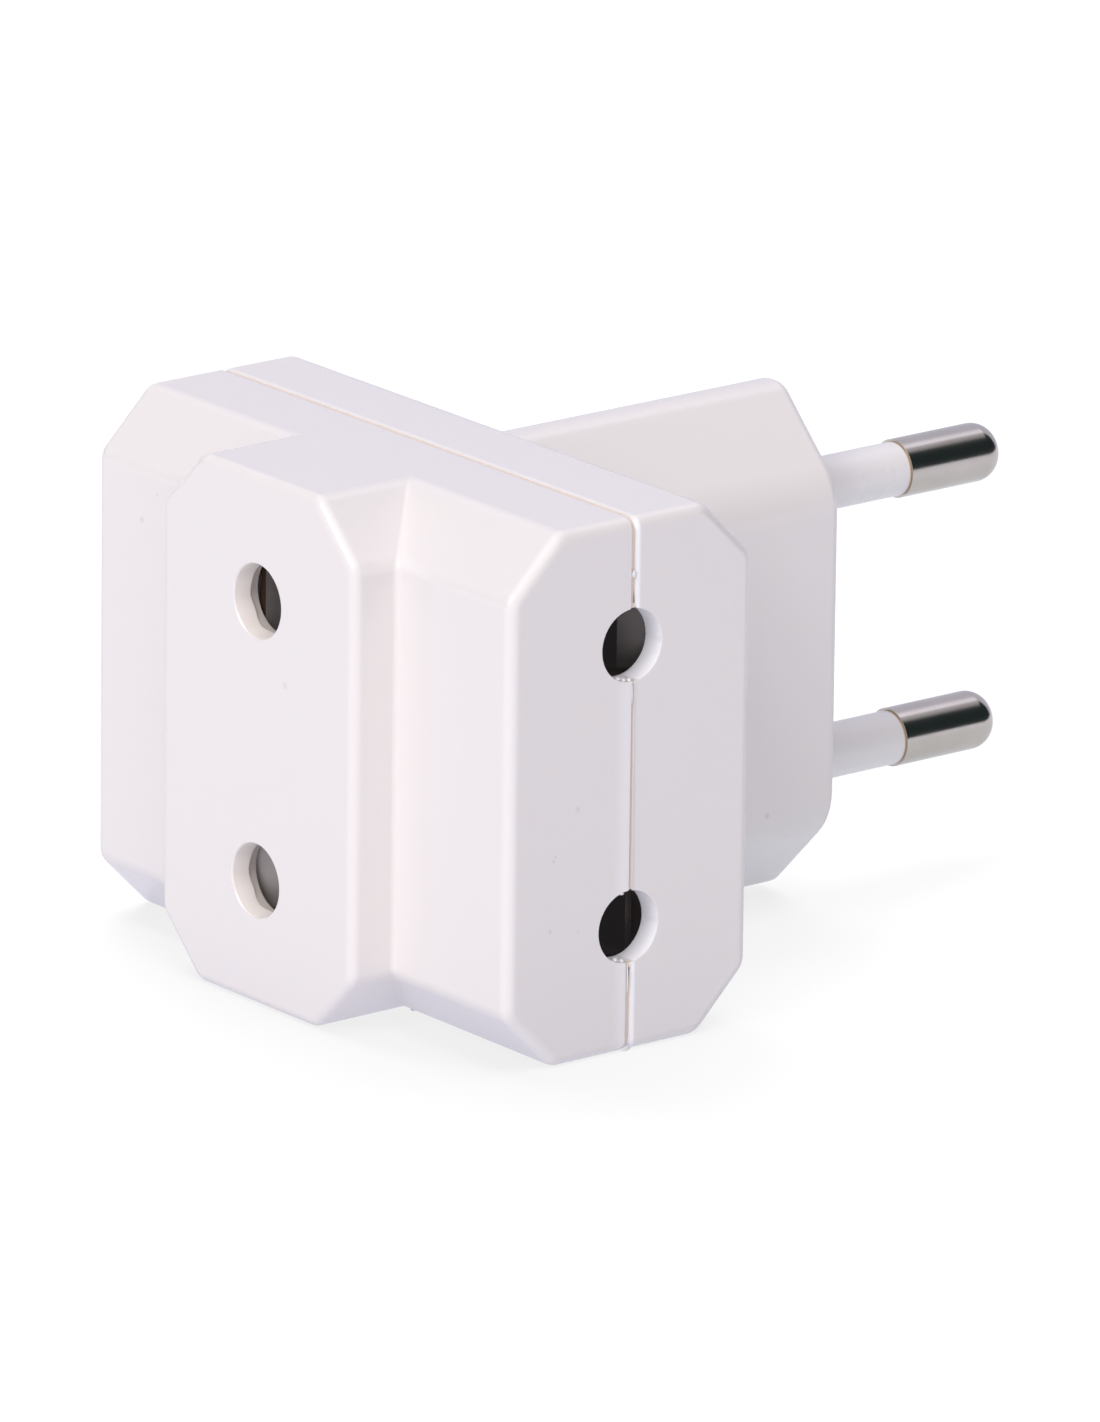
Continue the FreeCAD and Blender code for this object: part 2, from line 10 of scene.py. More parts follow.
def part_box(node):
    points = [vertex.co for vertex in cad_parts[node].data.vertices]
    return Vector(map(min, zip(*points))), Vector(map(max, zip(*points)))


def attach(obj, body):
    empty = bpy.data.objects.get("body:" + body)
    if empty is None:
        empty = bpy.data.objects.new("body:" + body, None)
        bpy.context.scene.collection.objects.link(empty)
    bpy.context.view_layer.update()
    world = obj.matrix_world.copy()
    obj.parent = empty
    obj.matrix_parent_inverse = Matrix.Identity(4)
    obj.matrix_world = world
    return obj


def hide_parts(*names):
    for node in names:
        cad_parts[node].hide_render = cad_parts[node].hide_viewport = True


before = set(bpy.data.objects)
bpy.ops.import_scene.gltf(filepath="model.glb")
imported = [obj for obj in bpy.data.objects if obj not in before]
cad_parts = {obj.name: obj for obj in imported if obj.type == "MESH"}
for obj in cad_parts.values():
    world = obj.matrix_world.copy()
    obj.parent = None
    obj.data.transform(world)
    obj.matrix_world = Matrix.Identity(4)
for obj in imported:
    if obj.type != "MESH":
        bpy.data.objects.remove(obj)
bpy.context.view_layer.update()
MM = 0.001


# Camera. A long lens looks down on the adapter from the front right, as in the
# photograph. Its place is given by the angles round the seam's middle, and by how far
# that point lies from the middle of the picture.
CAMERA_AZIMUTH = math.radians(51.53)
CAMERA_ELEVATION = math.radians(16.99)
CAMERA_ROLL = math.radians(0.71)
CAMERA_DISTANCE = 1.0097
CAMERA_LENS = 390.07
CAMERA_SENSOR = 36.0
CAMERA_NEAREST = 0.05
AIM_POINT = Vector((0.0, 0.0, 17.9 * MM))
AIM_ACROSS = -8.505 * MM
AIM_UP = 0.253 * MM


def place_camera():
    """The camera, turned to its own axes: across, upward and away from the adapter."""
    flat = math.cos(CAMERA_ELEVATION)
    away = Vector(
        (
            math.sin(CAMERA_AZIMUTH) * flat,
            -math.cos(CAMERA_AZIMUTH) * flat,
            math.sin(CAMERA_ELEVATION),
        )
    )
    level = Vector((math.cos(CAMERA_AZIMUTH), math.sin(CAMERA_AZIMUTH), 0.0))
    turn = Matrix.Rotation(CAMERA_ROLL, 3, away)
    across = turn @ level
    upward = turn @ away.cross(level)
    spot = AIM_POINT + away * CAMERA_DISTANCE - across * AIM_ACROSS - upward * AIM_UP
    data = bpy.data.cameras.new("camera")
    data.lens = CAMERA_LENS
    data.sensor_width = CAMERA_SENSOR
    data.clip_start = CAMERA_NEAREST
    camera = bpy.data.objects.new("camera", data)
    axes = Matrix((across, upward, away)).transposed()
    camera.matrix_world = Matrix.Translation(spot) @ axes.to_4x4()
    bpy.context.scene.collection.objects.link(camera)
    bpy.context.scene.camera = camera


place_camera()


# Floor. A wide sheet of white diffuser that the adapter stands on, lit from below. The
# camera sees it as plain white, with enough real light left in to keep the soft shadow.
FLOOR_HALF_WIDTH = 1.6
FLOOR_COLOUR = (0.08, 0.08, 0.08, 1.0)
FLOOR_GLOW = (0.614, 0.621, 0.729, 1.0)
FLOOR_DIM_GLOW = (0.514, 0.541, 0.602, 1.0)
FLOOR_DIM_CENTRE = Vector((5.0 * MM, 45.0 * MM, 0.0))
FLOOR_DIM_EDGE = (65.0 * MM, 10.0 * MM)
FLOOR_SHOWN_GLOW = (0.797, 0.797, 0.797, 1.0)


def link_mesh(name, mesh_builder):
    """Turns a bmesh into an object at the origin."""
    data = bpy.data.meshes.new(name)
    mesh_builder.to_mesh(data)
    mesh_builder.free()
    made = bpy.data.objects.new(name, data)
    bpy.context.scene.collection.objects.link(made)
    return made


def new_material(name):
    """A material with an empty node tree, its Principled shader and its output."""
    material = bpy.data.materials.new(name)
    material.use_nodes = True
    nodes = material.node_tree.nodes
    nodes.clear()
    shader = nodes.new("ShaderNodeBsdfPrincipled")
    output = nodes.new("ShaderNodeOutputMaterial")
    material.node_tree.links.new(shader.outputs["BSDF"], output.inputs["Surface"])
    return material, shader, output


def soft_edge(nodes, links, source, edge):
    """A mask that rises from 0 to 1 between the two ends of an edge."""
    ramp = nodes.new("ShaderNodeMapRange")
    ramp.interpolation_type = "SMOOTHSTEP"
    ramp.inputs["From Min"].default_value = edge[0]
    ramp.inputs["From Max"].default_value = edge[1]
    links.new(source, ramp.inputs["Value"])
    return ramp.outputs["Result"]


def near_mask(nodes, links, centre, edge):
    """A mask that is 1 near a point of the object and 0 far from it."""
    place = nodes.new("ShaderNodeTexCoord")
    away = nodes.new("ShaderNodeVectorMath")
    away.operation = "DISTANCE"
    away.inputs[1].default_value = centre
    links.new(place.outputs["Object"], away.inputs[0])
    return soft_edge(nodes, links, away.outputs["Value"], edge)


def give(links, given, socket):
    """Sets a socket to a value, or links it to the socket that is given."""
    if isinstance(given, bpy.types.NodeSocket):
        links.new(given, socket)
    else:
        socket.default_value = given


def mixed_colour(nodes, links, factor, first, second):
    """A colour that goes from the first to the second as the factor rises."""
    mix = nodes.new("ShaderNodeMix")
    mix.data_type = "RGBA"
    links.new(factor, mix.inputs["Factor"])
    give(links, first, mix.inputs["A"])
    give(links, second, mix.inputs["B"])
    return mix.outputs["Result"]


def floor_diffuser():
    """A dim matt sheet that glows, weaker behind the bar, where the plug shades it."""
    material, shader, output = new_material("floor_diffuser")
    nodes, links = material.node_tree.nodes, material.node_tree.links
    shader.inputs["Base Color"].default_value = FLOOR_COLOUR
    shader.inputs["Roughness"].default_value = 1.0
    shader.inputs["Specular IOR Level"].default_value = 0.0
    mask = near_mask(nodes, links, FLOOR_DIM_CENTRE, FLOOR_DIM_EDGE)
    dimmed = mixed_colour(nodes, links, mask, FLOOR_GLOW, FLOOR_DIM_GLOW)
    glow = nodes.new("ShaderNodeEmission")
    links.new(dimmed, glow.inputs["Color"])
    shown_glow = nodes.new("ShaderNodeEmission")
    shown_glow.inputs["Color"].default_value = FLOOR_SHOWN_GLOW
    seen = nodes.new("ShaderNodeLightPath")
    choice = nodes.new("ShaderNodeMixShader")
    links.new(seen.outputs["Is Camera Ray"], choice.inputs["Fac"])
    links.new(glow.outputs["Emission"], choice.inputs[1])
    links.new(shown_glow.outputs["Emission"], choice.inputs[2])
    both = nodes.new("ShaderNodeAddShader")
    links.new(shader.outputs["BSDF"], both.inputs[0])
    links.new(choice.outputs["Shader"], both.inputs[1])
    links.new(both.outputs["Shader"], output.inputs["Surface"])
    return material


floor_mesh = bmesh.new()
bmesh.ops.create_grid(floor_mesh, x_segments=2, y_segments=2, size=FLOOR_HALF_WIDTH)
floor = link_mesh("floor", floor_mesh)
floor.data.materials.append(floor_diffuser())


# Light. White walls stand round the table at the front right, the back left and above.
# The open side, at the back right, shows as the dark stripe in the bright pins. One
# soft lamp stands in front and above, and four more light the floor alone.
RISING = (-0.04, 0.04)
FALLING = (0.04, -0.04)
OVERHEAD = (0.70, 0.80)
WALLS = (
    # Colour, then the two ends of its soft edge along X, Y and Z
    ((0.985, 0.96, 0.95, 1.0), RISING, FALLING, RISING),
    ((0.645, 0.637, 0.773, 1.0), FALLING, RISING, RISING),
    ((0.657, 0.635, 0.706, 1.0), None, None, OVERHEAD),
    ((0.018, 0.029, 0.031, 1.0), None, None, RISING),
)
WHITE = (1.0, 1.0, 1.0, 1.0)
# Each lamp's name, where it stands seen from the adapter, its side and its watts
FRONT_LAMP = ("front_lamp", Vector((0.20, -0.74, 0.65)), 0.40, 3.14)
FLOOR_LAMPS = (
    ("back_floor_lamp", Vector((-0.60, 0.48, 0.64)), 0.50, 7.2),
    ("right_floor_lamp", Vector((0.42, 0.0, 0.90)), 0.50, 6.6),
    ("rear_floor_lamp", Vector((0.0, 0.42, 0.90)), 0.50, 3.3),
    ("left_floor_lamp", Vector((-0.42, 0.0, 0.90)), 0.50, 10.6),
)
LAMP_DISTANCE = 0.9


def light_walls():
    """The walls' light for the adapter, and plain white for the camera."""
    world = bpy.data.worlds.new("light_walls")
    bpy.context.scene.world = world
    world.use_nodes = True
    nodes, links = world.node_tree.nodes, world.node_tree.links
    nodes.clear()
    place = nodes.new("ShaderNodeTexCoord")
    parts = nodes.new("ShaderNodeSeparateXYZ")
    links.new(place.outputs["Generated"], parts.inputs["Vector"])
    total = None
    for colour, *edges in WALLS:
        wall = nodes.new("ShaderNodeRGB")
        wall.outputs["Color"].default_value = colour
        shade = wall.outputs["Color"]
        for axis, edge in zip("XYZ", edges):
            if edge is None:
                continue
            masked = nodes.new("ShaderNodeVectorMath")
            masked.operation = "SCALE"
            links.new(shade, masked.inputs["Vector"])
            mask = soft_edge(nodes, links, parts.outputs[axis], edge)
            links.new(mask, masked.inputs["Scale"])
            shade = masked.outputs["Vector"]
        if total is None:
            total = shade
            continue
        added = nodes.new("ShaderNodeVectorMath")
        links.new(total, added.inputs[0])
        links.new(shade, added.inputs[1])
        total = added.outputs["Vector"]
    walls = nodes.new("ShaderNodeBackground")
    links.new(total, walls.inputs["Color"])
    white = nodes.new("ShaderNodeBackground")
    white.inputs["Color"].default_value = WHITE
    seen = nodes.new("ShaderNodeLightPath")
    choice = nodes.new("ShaderNodeMixShader")
    links.new(seen.outputs["Is Camera Ray"], choice.inputs["Fac"])
    links.new(walls.outputs["Background"], choice.inputs[1])
    links.new(white.outputs["Background"], choice.inputs[2])
    output = nodes.new("ShaderNodeOutputWorld")
    links.new(choice.outputs["Shader"], output.inputs["Surface"])


def add_lamp(name, direction, side, power):
    """A square lamp that faces the adapter from a direction."""
    data = bpy.data.lights.new(name, "AREA")
    data.shape = "SQUARE"
    data.size = side
    data.energy = power
    lamp = bpy.data.objects.new(name, data)
    way = direction.normalized()
    lamp.location = AIM_POINT + way * LAMP_DISTANCE
    lamp.rotation_mode = "QUATERNION"
    lamp.rotation_quaternion = way.to_track_quat("Z", "Y")
    bpy.context.scene.collection.objects.link(lamp)
    return lamp


light_walls()
add_lamp(*FRONT_LAMP)
floor_only = bpy.data.collections.new("floor_only")
floor_only.objects.link(floor)
for lamp_values in FLOOR_LAMPS:
    lamp = add_lamp(*lamp_values)
    lamp.light_linking.receiver_collection = floor_only
bpy.context.scene.view_settings.view_transform = "Standard"


# Shells. Two half housings moulded in glossy white plastic and welded together at the
# seam, which shows as a fine line with softly rounded rims. Their shape comes from the
# model, joined up and smoothed so that the moulded roundings shade evenly.
SHARP_ANGLE = math.radians(32.0)
FLAT_ANGLE = math.radians(0.5)
FLAT_FACES_FIRST = 100
JOIN_DISTANCE = 0.002 * MM
NO_LENGTH = 0.0005 * MM
NEAR = 0.005 * MM
FAIRLY_NEAR = 4 * NEAR

SEAM_GAP = 0.2 * MM
REAR_RIM_ROUND = 0.4 * MM
FRONT_RIM_ROUND = 0.25 * MM
WEB_RIM_ROUND = 0.2 * MM
RIM_SEGMENTS = 5
OUTER_RIM = 0.3 * MM
HOLE_LEVELS = (8.5 * MM, 27.5 * MM)
HOLE_RADIUS = 2.45 * MM
END_BORE_DEPTH = 1.7 * MM
MOUTH_ROUND = 0.04 * MM
MOUTH_SEGMENTS = 2

BORE_RADIUS = 2.5 * MM
BORE_LEDGE = -12.15 * MM
BORE_REACH = BORE_LEDGE + 1.0 * MM
BORE_INNER_RADIUS = 2.3 * MM
BORE_UNDERCUT_RADIUS = 2.56 * MM
LIP_WOBBLE = 0.08 * MM
LIP_BROAD_WAVES = 3.0
LIP_SMALL_WAVES = 8.0
LIP_DEPTH_WAVES = 5.0
LIP_DEPTH_START = 2.0

# How far a face looks along an axis, from 0 across it to 1 straight along it
ACROSS_FACING = 0.1
END_WALL_FACING = 0.3
BORE_WALL_FACING = 0.4
STRAIGHT_FACING = 0.99

SKIN, INSIDE, BORE, RIM, END_BORE = range(5)
SHELL_PLASTICS = (
    # In the order above: name, colour, colour and strength of the clouds in it,
    # roughness and bump
    (
        "white_shell_plastic",
        (0.865, 0.815, 0.805, 1.0), (0.87, 0.815, 0.79, 1.0), 0.8, 0.15, 0.35,
    ),
    # What lies behind the lip of each front mouth is coloured darker and browner:
    # painted shade.
    (
        "painted_shade_inner_plastic",
        (0.74, 0.67, 0.62, 1.0), (0.60, 0.54, 0.50, 1.0), 0.8, 0.5, 0.5,
    ),
    # The bore walls are coloured lighter than the skin: painted light.
    (
        "painted_light_bore_plastic",
        (0.93, 0.86, 0.83, 1.0), (0.93, 0.85, 0.80, 1.0), 0.8, 0.3, 0.5,
    ),
    # The rounded rims at the ends are coloured lighter than the skin: painted
    # highlight, along with their lower roughness.
    (
        "painted_highlight_rim_plastic",
        (0.94, 0.91, 0.93, 1.0), (0.93, 0.89, 0.90, 1.0), 0.5, 0.12, 0.3,
    ),
    # The end bores' walls are coloured lighter and bluer than the skin: painted light.
    (
        "painted_light_end_bore_plastic",
        (0.90, 0.875, 0.915, 1.0), (0.88, 0.85, 0.88, 1.0), 0.8, 0.3, 0.5,
    ),
)
# Painted light: the bore walls glow a little, which makes them lighter still.
BORE_PAINTED_GLOW = (1.0, 0.95, 0.90, 1.0)
BORE_PAINTED_GLOW_STRENGTH = 0.07
# Painted light: the end bores' walls glow a little too.
END_BORE_PAINTED_GLOW = (0.96, 0.97, 1.0, 1.0)
END_BORE_PAINTED_GLOW_STRENGTH = 0.09

# Scale and detail of each noise in the plastic's skin
CLOUDS = (90.0, 3.0)
SMEARS = (260.0, 4.0)
WAVES = (160.0, 1.0)
GRAIN = (4200.0, 2.0)
SMEAR_RANGE = (0.3, 0.7)
SMEAR_ROUGHNESS = (-0.035, 0.035)
GRAIN_HEIGHT = 0.06
SKIN_DEPTH = 0.02 * MM
PLASTIC_IOR = 1.5
PLASTIC_MILKINESS = 0.12
PLASTIC_MILKY_REACH = (1.0, 0.85, 0.75)
PLASTIC_MILKY_DEPTH = 0.7 * MM

# A painted highlight by the seam on the ends of the bar: its colour, its strength and
# the soft edges of its band.
SEAM_HIGHLIGHT_COLOUR = (1.0, 0.95, 0.965, 1.0)
SEAM_HIGHLIGHT_AMOUNT = 0.6
SEAM_HIGHLIGHT_FROM_FRONT = (-1.5 * MM, -0.2 * MM)
SEAM_HIGHLIGHT_TO_BACK = (0.12 * MM, 0.0)
SEAM_HIGHLIGHT_TO_TOP = (28.0 * MM, 24.0 * MM)
SEAM_HIGHLIGHT_SKIN = (0.2 * MM, 0.1 * MM)
SPECK_CORE = 0.3
SPECKS = (
    # Where each speck of dirt lies and its radius, in mm, its colour and its strength
    ((-17.13, -10.0, 28.36), 0.28, (0.40, 0.33, 0.28, 1.0), 0.2),
    ((-15.5, -10.0, 30.43), 0.18, (0.42, 0.34, 0.30, 1.0), 0.2),
    ((22.1, -6.47, 9.40), 0.20, (0.35, 0.30, 0.27, 1.0), 0.18),
    ((22.1, -4.15, 8.95), 0.17, (0.38, 0.32, 0.28, 1.0), 0.1),
    ((22.1, -6.25, 14.1), 0.16, (0.36, 0.33, 0.33, 1.0), 0.22),
    ((22.1, -6.10, 14.35), 0.15, (0.36, 0.33, 0.33, 1.0), 0.22),
    ((22.1, -4.30, 17.25), 0.27, (0.52, 0.48, 0.50, 1.0), 0.22),
    ((3.04, -13.5, 22.50), 0.34, (0.50, 0.44, 0.40, 1.0), 0.2),
    ((6.85, 23.95, 7.70), 0.30, (0.42, 0.24, 0.18, 1.0), 0.2),
)


def joined_copy(node_name):
    """A bmesh of a node's own triangles, joined up, with each flat face made whole."""
    shape = bmesh.new()
    shape.from_mesh(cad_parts[node_name].data)
    bmesh.ops.remove_doubles(shape, verts=shape.verts, dist=JOIN_DISTANCE)
    bmesh.ops.dissolve_limit(
        shape, angle_limit=FLAT_ANGLE, verts=shape.verts, edges=shape.edges
    )
    return shape


def finish_smooth(piece, angle):
    """Smooth shading with sharp edges kept, weighted so that flat faces stay flat."""
    if "custom_normal" in piece.data.attributes:
        piece.data.attributes.remove(piece.data.attributes["custom_normal"])
    piece.data.shade_smooth()
    piece.data.set_sharp_from_angle(angle=angle)
    weighted = piece.modifiers.new("even_shading", "WEIGHTED_NORMAL")
    weighted.keep_sharp = True
    weighted.weight = FLAT_FACES_FIRST


front_low, front_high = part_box("front_shell")


def nearest_level(height):
    """The height of the hole that a point belongs to."""
    return min(HOLE_LEVELS, key=lambda level: abs(height - level))


def from_skin(point):
    """How far a point lies inside the bar's outer box, seen along the seam."""
    across = front_high.x - abs(point.x)
    upright = min(point.z - front_low.z, front_high.z - point.z)
    return min(across, upright)


def rim_edges(shape, rim_y):
    """The outer edges of a shell's rim, between its flat face and the bar's skin."""
    found = []
    for edge in shape.edges:
        on_rim = all(abs(v.co.y - rim_y) < NEAR for v in edge.verts)
        if not on_rim or len(edge.link_faces) != 2:
            continue
        flat = sum(abs(face.normal.y) > STRAIGHT_FACING for face in edge.link_faces)
        middle = (edge.verts[0].co + edge.verts[1].co) / 2
        if flat == 1 and from_skin(middle) < OUTER_RIM:
            found.append(edge)
    return found


def mouth_edges(shape):
    """The edges round the holes' mouths at both ends of the bar."""

    def at_mouth(point):
        radius = math.hypot(point.y, point.z - nearest_level(point.z))
        on_end = front_high.x - abs(point.x) < NEAR
        return on_end and abs(radius - HOLE_RADIUS) < FAIRLY_NEAR

    return [edge for edge in shape.edges if all(at_mouth(v.co) for v in edge.verts)]


def round_edges(shape, edges, radius, segments):
    """Rounds off edges in a few flat steps."""
    bmesh.ops.bevel(
        shape,
        geom=edges,
        offset=radius,
        offset_type="OFFSET",
        segments=segments,
        profile=0.5,
        affect="EDGES",
        material=-1,
        clamp_overlap=False,
    )


def undercut_bores(shape):
    """Opens the ring behind each front mouth, and leaves the lip before it uneven."""
    for vert in shape.verts:
        if vert.co.y > BORE_REACH:
            continue
        level = nearest_level(vert.co.z)
        across, upright = vert.co.x, vert.co.z - level
        radius = math.hypot(across, upright)
        angle = math.atan2(upright, across)
        on_ledge = abs(vert.co.y - BORE_LEDGE) < NEAR
        if abs(radius - BORE_INNER_RADIUS) < FAIRLY_NEAR:
            wanted = BORE_UNDERCUT_RADIUS
        elif abs(radius - BORE_RADIUS) < FAIRLY_NEAR and on_ledge:
            broad = math.sin(LIP_BROAD_WAVES * angle + level / MM)
            small = math.sin(LIP_SMALL_WAVES * angle)
            wanted = BORE_RADIUS + LIP_WOBBLE * (0.5 * (broad + small) - 1.0)
            depth = math.sin(LIP_DEPTH_WAVES * angle + LIP_DEPTH_START)
            vert.co.y += LIP_WOBBLE * depth
        else:
            continue
        vert.co.x = wanted * math.cos(angle)
        vert.co.z = level + wanted * math.sin(angle)


def mark_faces(shape, rim_y, rim_round):
    """Tells the walls of the holes, what lies behind them and the rim from the skin."""
    for face in shape.faces:
        middle, normal = face.calc_center_median(), face.normal
        upright = middle.z - nearest_level(middle.z)
        face.material_index = SKIN
        if middle.y < BORE_REACH and abs(normal.y) < BORE_WALL_FACING:
            if math.hypot(middle.x, upright) < BORE_UNDERCUT_RADIUS:
                face.material_index = BORE if middle.y < BORE_LEDGE else INSIDE
        elif (
            front_high.x - END_BORE_DEPTH < abs(middle.x)
            and abs(normal.x) < END_WALL_FACING
        ):
            if math.hypot(middle.y, upright) < HOLE_RADIUS + NEAR:
                face.material_index = END_BORE
        on_rim = (
            ACROSS_FACING < abs(normal.y) < STRAIGHT_FACING
            and abs(middle.y - rim_y) < rim_round
        )
        at_end = front_high.x - abs(middle.x) < rim_round
        on_web = HOLE_LEVELS[0] < middle.z < HOLE_LEVELS[1]
        if on_rim and at_end and not on_web and face.material_index == SKIN:
            face.material_index = RIM


def moulded_shell(node_name, rim_y, rim_round):
    """A shell with its rim rounded, less so on the web between the two end holes."""
    shape = joined_copy(node_name)
    undercut_bores(shape)
    round_edges(shape, mouth_edges(shape), MOUTH_ROUND, MOUTH_SEGMENTS)
    web, rest = [], []
    for edge in rim_edges(shape, rim_y):
        on_web = HOLE_LEVELS[0] < edge.verts[0].co.z < HOLE_LEVELS[1]
        (web if on_web else rest).append(edge)
    round_edges(shape, web, min(WEB_RIM_ROUND, rim_round), RIM_SEGMENTS)
    rest = [edge for edge in rest if edge.is_valid]
    round_edges(shape, rest, rim_round, RIM_SEGMENTS)
    for vert in shape.verts:
        # Where a rim's rounding runs out at a hole, its points go back to the skin
        vert.co.x = min(max(vert.co.x, -front_high.x), front_high.x)
    bmesh.ops.dissolve_degenerate(shape, dist=NO_LENGTH, edges=shape.edges)
    mark_faces(shape, rim_y, rim_round)
    piece = link_mesh(f"{node_name}_moulded", shape)
    finish_smooth(piece, SHARP_ANGLE)
    return piece


def noise_map(nodes, links, place, scale, detail):
    """A noise over the places that are given."""
    made = nodes.new("ShaderNodeTexNoise")
    made.inputs["Scale"].default_value = scale
    made.inputs["Detail"].default_value = detail
    links.new(place, made.inputs["Vector"])
    return made.outputs["Fac"]


def spread(nodes, links, source, ends, edge=(0.0, 1.0)):
    """A value brought from its own range, the edge, to the one between the ends."""
    ramp = nodes.new("ShaderNodeMapRange")
    ramp.inputs["From Min"].default_value = edge[0]
    ramp.inputs["From Max"].default_value = edge[1]
    ramp.inputs["To Min"].default_value = ends[0]
    ramp.inputs["To Max"].default_value = ends[1]
    links.new(source, ramp.inputs["Value"])
    return ramp.outputs["Result"]


def product(nodes, links, first, second):
    """A value multiplied by another or by a number."""
    made = nodes.new("ShaderNodeMath")
    made.operation = "MULTIPLY"
    links.new(first, made.inputs[0])
    give(links, second, made.inputs[1])
    return made.outputs["Value"]


def raise_relief(nodes, links, shader, height, strength, depth):
    """Bumps on a shader, as high as the depth where the height goes from 0 to 1."""
    relief = nodes.new("ShaderNodeBump")
    relief.inputs["Strength"].default_value = strength
    relief.inputs["Distance"].default_value = depth
    links.new(height, relief.inputs["Height"])
    links.new(relief.outputs["Normal"], shader.inputs["Normal"])


def skin_group():
    """Moulded plastic skin: faint flow clouds, a very fine grain and slow waves."""
    group = bpy.data.node_groups.new("moulded_skin", "ShaderNodeTree")
    for name, way, kind in (
        ("Colour", "INPUT", "NodeSocketColor"),
        ("Cloud Colour", "INPUT", "NodeSocketColor"),
        ("Cloud Amount", "INPUT", "NodeSocketFloat"),
        ("Roughness", "INPUT", "NodeSocketFloat"),
        ("Colour", "OUTPUT", "NodeSocketColor"),
        ("Roughness", "OUTPUT", "NodeSocketFloat"),
        ("Height", "OUTPUT", "NodeSocketFloat"),
    ):
        group.interface.new_socket(name, in_out=way, socket_type=kind)
    nodes, links = group.nodes, group.links
    given = nodes.new("NodeGroupInput").outputs
    result = nodes.new("NodeGroupOutput").inputs
    place = nodes.new("ShaderNodeTexCoord").outputs["Object"]
    cloud = noise_map(nodes, links, place, *CLOUDS)
    amount = product(nodes, links, cloud, given["Cloud Amount"])
    tint = mixed_colour(nodes, links, amount, given["Colour"], given["Cloud Colour"])
    links.new(tint, result["Colour"])
    smear = noise_map(nodes, links, place, *SMEARS)
    rough = nodes.new("ShaderNodeMath")
    links.new(given["Roughness"], rough.inputs[0])
    uneven = spread(nodes, links, smear, SMEAR_ROUGHNESS, SMEAR_RANGE)
    links.new(uneven, rough.inputs[1])
    links.new(rough.outputs["Value"], result["Roughness"])
    height = nodes.new("ShaderNodeMath")
    height.operation = "MULTIPLY_ADD"
    height.inputs[1].default_value = GRAIN_HEIGHT
    links.new(noise_map(nodes, links, place, *GRAIN), height.inputs[0])
    links.new(noise_map(nodes, links, place, *WAVES), height.inputs[2])
    links.new(height.outputs["Value"], result["Height"])
    return group


skin = skin_group()


def plastic(name, colour, cloud_colour, cloud_amount, roughness, bump):
    """A slightly milky plastic with a moulded skin."""
    material, shader, _ = new_material(name)
    nodes, links = material.node_tree.nodes, material.node_tree.links
    surface = nodes.new("ShaderNodeGroup")
    surface.node_tree = skin
    surface.inputs["Colour"].default_value = colour
    surface.inputs["Cloud Colour"].default_value = cloud_colour
    surface.inputs["Cloud Amount"].default_value = cloud_amount
    surface.inputs["Roughness"].default_value = roughness
    raise_relief(nodes, links, shader, surface.outputs["Height"], bump, SKIN_DEPTH)
    links.new(surface.outputs["Colour"], shader.inputs["Base Color"])
    links.new(surface.outputs["Roughness"], shader.inputs["Roughness"])
    shader.inputs["IOR"].default_value = PLASTIC_IOR
    shader.inputs["Subsurface Weight"].default_value = PLASTIC_MILKINESS
    shader.inputs["Subsurface Radius"].default_value = PLASTIC_MILKY_REACH
    shader.inputs["Subsurface Scale"].default_value = PLASTIC_MILKY_DEPTH
    return material


def lay_over(material, mask, colour):
    """Lays a colour over that of a plastic where a mask shows it."""
    nodes, links = material.node_tree.nodes, material.node_tree.links
    base = nodes["Principled BSDF"].inputs["Base Color"]
    under = base.links[0].from_socket
    links.new(mixed_colour(nodes, links, mask, under, colour), base)


def paint_glow(material, colour, strength):
    """Painted light: a faint glow of a material's own, which makes its surfaces
    lighter.
    """
    shader = material.node_tree.nodes["Principled BSDF"]
    shader.inputs["Emission Color"].default_value = colour
    shader.inputs["Emission Strength"].default_value = strength


def own_axes(nodes, links):
    """The places along the object's X, Y and Z."""
    place = nodes.new("ShaderNodeTexCoord")
    parts = nodes.new("ShaderNodeSeparateXYZ")
    links.new(place.outputs["Object"], parts.inputs["Vector"])
    return parts.outputs


def add_specks(material):
    """Small round marks laid over the colour of a plastic."""
    nodes, links = material.node_tree.nodes, material.node_tree.links
    for spot, radius, colour, amount in SPECKS:
        edge = (radius * MM, SPECK_CORE * radius * MM)
        mask = near_mask(nodes, links, Vector(spot) * MM, edge)
        lay_over(material, product(nodes, links, mask, amount), colour)


def paint_seam_highlight(material):
    """A painted highlight: a lighter, bluer band on the ends of the bar, just in front
    of the seam, fading out towards the top.
    """
    nodes, links = material.node_tree.nodes, material.node_tree.links
    axes = own_axes(nodes, links)
    outward = nodes.new("ShaderNodeMath")
    outward.operation = "ABSOLUTE"
    links.new(axes["X"], outward.inputs[0])
    amount = SEAM_HIGHLIGHT_AMOUNT
    for source, edge in (
        (axes["Y"], SEAM_HIGHLIGHT_FROM_FRONT),
        (axes["Y"], SEAM_HIGHLIGHT_TO_BACK),
        (axes["Z"], SEAM_HIGHLIGHT_TO_TOP),
        (outward.outputs["Value"], [front_high.x - depth for depth in SEAM_HIGHLIGHT_SKIN]),
    ):
        mask = soft_edge(nodes, links, source, edge)
        amount = product(nodes, links, mask, amount)
    lay_over(material, amount, SEAM_HIGHLIGHT_COLOUR)


shell_plastics = [plastic(*values) for values in SHELL_PLASTICS]
add_specks(shell_plastics[SKIN])
paint_seam_highlight(shell_plastics[SKIN])
